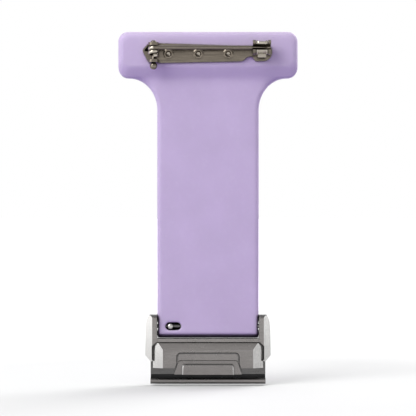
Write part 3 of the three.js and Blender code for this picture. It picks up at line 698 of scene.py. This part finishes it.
def adapter():
    pieces = (
        ("adapter_frame", 0.09, metal_look),
        ("adapter_back_cover", 0.08, cover_look),
        ("latch_lever", 0.08, tab_look),
        ("adapter_tongue", 0.1, tongue_look),
    )
    for node, edge, look in pieces:
        finished(refined(node, edge), node, "brushed_frame", *ADAPTER_LOOKS, pick=look)


def screws():
    """Low round heads with a cross slot, painted dark as shade in the slot and below the head's top."""
    shank, head_tall, slot_deep, unshaded_deep = 0.6, 0.5, 0.28, 0.2
    slot_long, slot_wide, slot_corner = 0.52, 0.15, 0.1
    for side in ("left", "right"):
        node = f"adapter_screw_{side}"
        low, high = span(node)
        x, z = (low.x + high.x) / 2, (low.z + high.z) / 2
        radius, top = (high.x - low.x) / 2, low.y
        profile = [(top, 0), (top, radius - 0.16), (top + 0.05, radius - 0.05), (top + 0.14, radius)]
        profile += [(top + head_tall, radius), (top + head_tall, shank), (high.y, shank), (high.y, 0)]
        slots = []
        for u, v in ((slot_long, slot_wide), (slot_wide, slot_long)):
            outline = rounded_box(x - u, z - v, x + u, z + v, slot_corner, 4)
            slots.append(prism("slot", outline, "y", top - 1, top + slot_deep))
        head = boolean(lathe(f"{node}_fine", "y", (x, z), profile), "DIFFERENCE", *slots)
        shaded_past = top + unshaded_deep
        finished(
            head,
            node,
            "stainless",
            TURNED,
            DARK_STEEL_AND_SHADE,
            pick=lambda face: int(face.center.y > shaded_past),
        )


def release_knob():
    """A small turned button with a domed top on a thin stem."""
    low, high = span("release_knob")
    centre = ((low.x + high.x) / 2, (low.z + high.z) / 2)
    top, radius, stem, collar = high.y, (high.x - low.x) / 2, 0.31, 0.5
    neck, under, crown = low.y + 0.75, top - 0.5, 0.34
    dome = [(top - crown + along, across) for across, along in scaled_arc(radius, crown, 0, 90, 8)]
    dome[-1] = (top, 0)
    shaft = [(low.y, 0), (low.y, stem), (neck, stem), (neck, collar), (under, collar)]
    knob = lathe("release_knob_fine", "y", centre, [*shaft, (under + 0.08, radius), *dome])
    finished(knob, "release_knob", "stainless", TURNED, angle=60)


def bar_spring():
    """The spring bar's spring, which shortens as the knob is drawn in."""
    low, high = span("spring_bar_spring")
    wire_radius, turns, per_turn = 0.11, 15, 16
    coil_radius = (high.z - low.z) / 2 - wire_radius
    steps = turns * per_turn
    path = []
    for i in range(steps + 1):
        a = math.radians(360 * i / per_turn)
        x = low.x + wire_radius + (high.x - low.x - 2 * wire_radius) * i / steps
        path.append((x, BAR.y + coil_radius * math.cos(a), BAR.z + coil_radius * math.sin(a)))
    made = wire("spring_bar_spring_fine", path, [wire_radius] * len(path), 8)
    finished(made, "spring_bar_spring", "stainless", POLISHED, angle=60)
    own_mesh(made)


def hidden_works():
    """The pieces inside, as the frame has them."""
    looks = {
        "head_insert_plate": SATIN,
        "spring_bar_tube": DARK_STEEL_AND_SHADE,
        "spring_bar_fixed_tip": TURNED,
        "spring_bar_plunger": DARK_STEEL_AND_SHADE,
        "latch_axle": TURNED,
        "latch_spring": POLISHED,
    }
    for node, material in looks.items():
        mesh = frame["nodes"][node].data
        mesh.materials.clear()
        mesh.materials.append(material)


# ---- studio ----

# The colour of the light that the floor bounces onto the object: dimmer and more violet than the floor looks.
FLOOR_BOUNCE = (0.27, 0.215, 0.4)
# How bright the surroundings are from straight below, 0, by the horizon, 0.5, to straight above, 1.
SKY_LEVELS = ((0.0, 0.3), (0.48, 0.5), (0.52, 0.95), (0.64, 0.95), (0.76, 0.7), (0.9, 0.62), (1.0, 0.8))


def floor():
    """A wide pale floor just under the lowest point, plain white further out, like a paper sweep."""
    half, gap = 6.0, 0.0004
    mesh = bpy.data.meshes.new("floor")
    z = cad_bounds[0].z - gap
    corners = [(-half, -half, z), (half, -half, z), (half, half, z), (-half, half, z)]
    mesh.from_pydata(corners, [], [(0, 1, 2, 3)])
    obj = bpy.data.objects.new("floor", mesh)
    bpy.context.scene.collection.objects.link(obj)
    made = Nodes("floor", 0.95)
    bounced = made.tree.nodes.new("ShaderNodeLightPath").outputs["Is Diffuse Ray"]
    distance = made.tree.nodes.new("ShaderNodeVectorMath")
    distance.operation = "LENGTH"
    made.put(distance.inputs[0], made.place)
    far = made.ranged(distance.outputs["Value"], 0, 1, 0.1, 0.4)
    mottle = made.noise((0.02, 0.02, 0.02))
    paper = made.mixed(mottle, (0.66, 0.665, 0.665), (0.69, 0.69, 0.69))
    mesh.materials.append(
        made.paint(
            Base_Color=made.mixed(bounced, paper, FLOOR_BOUNCE),
            Specular_IOR_Level=0.0,
            Emission_Color=(1, 1, 1, 1),
            Emission_Strength=made.ranged(bounced, far, 0, 0, 1),
        )
    )


def surroundings():
    """A studio that is plain white to the camera. What lights the object, and what it mirrors, is brightest
    in a band just above the horizon and dimmer above and below that."""
    world = bpy.data.worlds.new("studio")
    bpy.context.scene.world = world
    world.use_nodes = True
    tree = world.node_tree
    ray = tree.nodes.new("ShaderNodeTexCoord").outputs["Generated"]
    split = tree.nodes.new("ShaderNodeSeparateXYZ")
    tree.links.new(ray, split.inputs["Vector"])
    ramp = tree.nodes.new("ShaderNodeValToRGB")
    stops = ramp.color_ramp.elements
    while len(stops) < len(SKY_LEVELS):
        stops.new(0.5)
    for stop, (place, level) in zip(stops, SKY_LEVELS):
        stop.position = place
        stop.color = (level, level, level, 1)
    height = tree.nodes.new("ShaderNodeMapRange")
    height.inputs["From Min"].default_value = -1
    tree.links.new(split.outputs["Z"], height.inputs["Value"])
    tree.links.new(height.outputs["Result"], ramp.inputs["Fac"])
    backdrop = tree.nodes.new("ShaderNodeMix")
    backdrop.data_type = "RGBA"
    backdrop.inputs["B"].default_value = (1, 1, 1, 1)
    tree.links.new(tree.nodes.new("ShaderNodeLightPath").outputs["Is Camera Ray"], backdrop.inputs["Factor"])
    tree.links.new(ramp.outputs["Color"], backdrop.inputs["A"])
    tree.links.new(backdrop.outputs["Result"], tree.nodes["Background"].inputs["Color"])


def softbox(name, direction, distance, size, level):
    """A square area light of an even level, which faces the middle of the object."""
    centre = (cad_bounds[0] + cad_bounds[1]) / 2
    light = bpy.data.lights.new(name, "AREA")
    light.shape = "SQUARE"
    light.size = size
    light.energy = level * math.pi * size**2
    lamp = bpy.data.objects.new(name, light)
    lamp.location = centre + Vector(direction).normalized() * distance
    lamp.rotation_euler = (centre - lamp.location).to_track_quat("-Z", "Y").to_euler()
    bpy.context.scene.collection.objects.link(lamp)


def lights():
    """One from above, and for each of the two broad faces a key from the upper left of whoever looks at it
    and a side panel on the same side."""
    softbox("overhead", (0, 0, 1), 0.5, 0.34, 0.5)
    for side, towards in (("back", 1), ("front", -1)):
        softbox(f"{side}_key", (0.95 * towards, 0.95 * towards, 0.95), 0.55, 0.3, 6.3)
        softbox(f"{side}_side", (0.95 * towards, 0.45 * towards, 0.1), 0.5, 0.36, 1.6)


def camera():
    """Square on to the back, where the bar pin, the knob and the latch are, with a long lens."""
    lens, sensor, share_of_frame = 150, 36, 0.86
    middle = (cad_bounds[0] + cad_bounds[1]) / 2
    seen = (cad_bounds[1].z - cad_bounds[0].z) / share_of_frame
    data = bpy.data.cameras.new("camera")
    data.lens = lens
    data.sensor_width = sensor
    data.clip_start = 0.01
    data.clip_end = 20
    obj = bpy.data.objects.new("camera", data)
    obj.location = (middle.x, cad_bounds[1].y + seen * lens / sensor, middle.z)
    obj.rotation_euler = (math.radians(90), 0, math.radians(180))
    bpy.context.scene.collection.objects.link(obj)
    bpy.context.scene.camera = obj


camera()
surroundings()
floor()
lights()
silicone_strap()
bar_pin()
adapter()
screws()
release_knob()
bar_spring()
hidden_works()
bpy.context.scene.view_settings.view_transform = "Standard"
